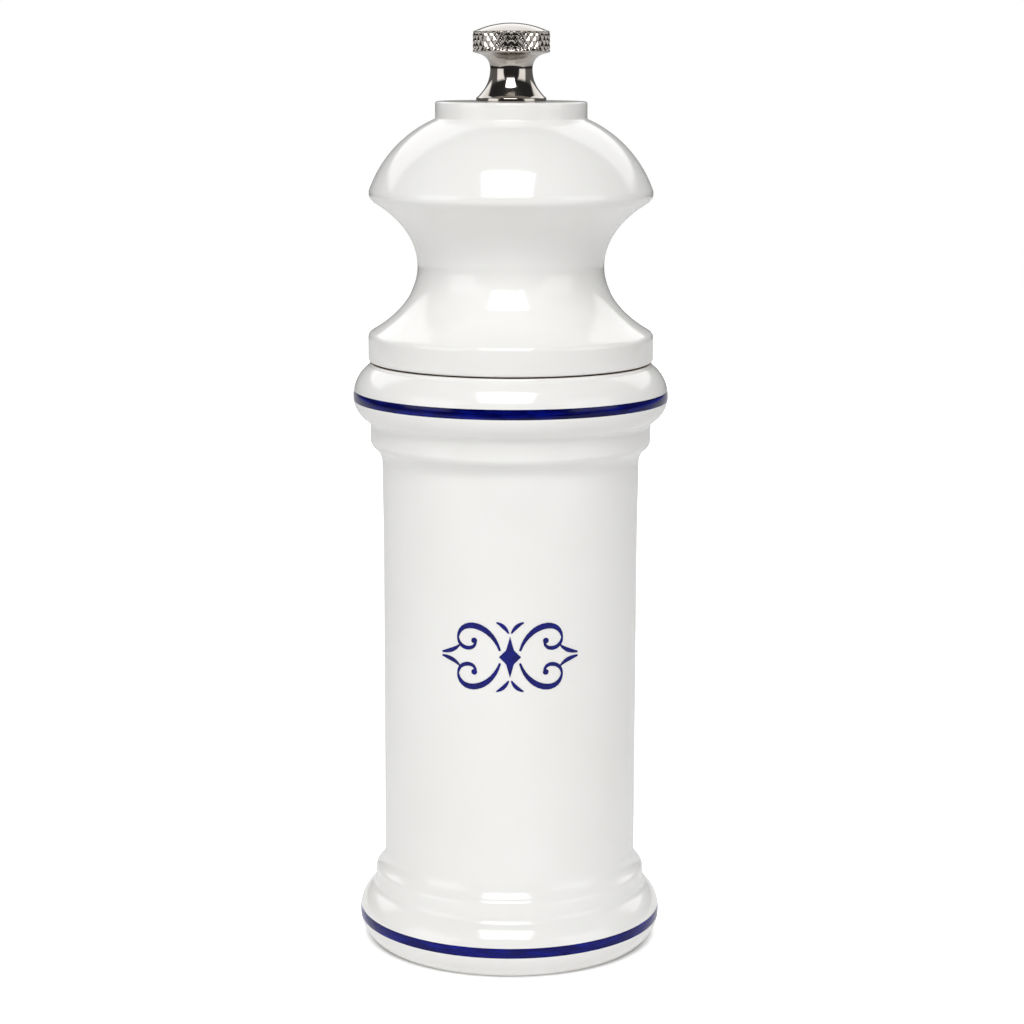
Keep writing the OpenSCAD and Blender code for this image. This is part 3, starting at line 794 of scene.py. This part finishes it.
table_top = finish("white_table", {"Emission Strength": 1.0}, floor_shade)
corners = ((-0.9, -0.42), (0.9, -0.42), (0.9, 1.4), (-0.9, 1.4))
table = made("table_top", [(x, y, -0.00002) for x, y in corners], [[0, 1, 2, 3]], [table_top])


def soft_light(name, width, height, place, target, glow):
    """A flat panel that lights evenly. glow is its brightness against full white."""
    lamp = bpy.data.lights.new(name, "AREA")
    lamp.shape = "RECTANGLE"
    lamp.size = width
    lamp.size_y = height
    lamp.energy = glow * math.pi * width * height
    stand = bpy.data.objects.new(name, lamp)
    stand.location = place
    aim = Vector(target) - Vector(place)
    stand.rotation_euler = aim.to_track_quat("-Z", "Y").to_euler()
    stand.visible_camera = False
    bpy.context.scene.collection.objects.link(stand)


soft_light("key_softbox", 0.62, 0.6, (-0.044, -0.68, 0.83), (0, 0, 0.1), 6.3)

world = bpy.data.worlds.new("studio")
bpy.context.scene.world = world
world.use_nodes = True
world.node_tree.nodes.clear()
way = Feed(world.node_tree).node("ShaderNodeTexCoord", {}, {}, "Generated")
rise = way.axis("Z")
depth = way.axis("Y")
low = rise.spread(0.42, 0.55, 1, 0) * rise.spread(-0.02, 0, 0, 1)
right = way.axis("X").spread(-0.05, 0.05, 0, 1)
beside = depth.spread(-0.2, -0.1, 0, 1)
screens = low * depth.spread(-0.75, -0.68, 0, 1) * (1 - beside) * (1.8 - right * 0.25)
hung = rise.spread(0.28, 0.34, 0, 1) * rise.spread(0.78, 0.86, 1, 0)
rear = hung * depth.spread(0.4, 0.5, 0, 1)
glow = screens + low * beside * 0.14 + rear * 1.5 + 0.04
seen = way.node("ShaderNodeLightPath", {}, {}, "Is Camera Ray")
room = way.node("ShaderNodeBackground", {}, {"Color": (1, 1, 1, 1), "Strength": glow})
sweep = way.node("ShaderNodeBackground", {}, {"Color": (1, 1, 1, 1), "Strength": 1.0})
mixed = way.node("ShaderNodeMixShader", {}, {0: seen, 1: room, 2: sweep})
output = world.node_tree.nodes.new("ShaderNodeOutputWorld")
world.node_tree.links.new(mixed.socket, output.inputs["Surface"])

camera = bpy.data.objects.new("camera", bpy.data.cameras.new("camera"))
camera.data.lens = 92.04
camera.data.sensor_width = 36
camera.data.shift_x = 0.00162
camera.matrix_world = (Matrix.Translation((0, -0.50867, 0.17685))
                       @ Matrix.Rotation(math.radians(79.88), 4, "X")
                       @ Matrix.Rotation(0.0023, 4, "Z"))
bpy.context.scene.collection.objects.link(camera)
bpy.context.scene.camera = camera
bpy.context.scene.view_settings.view_transform = "Standard"
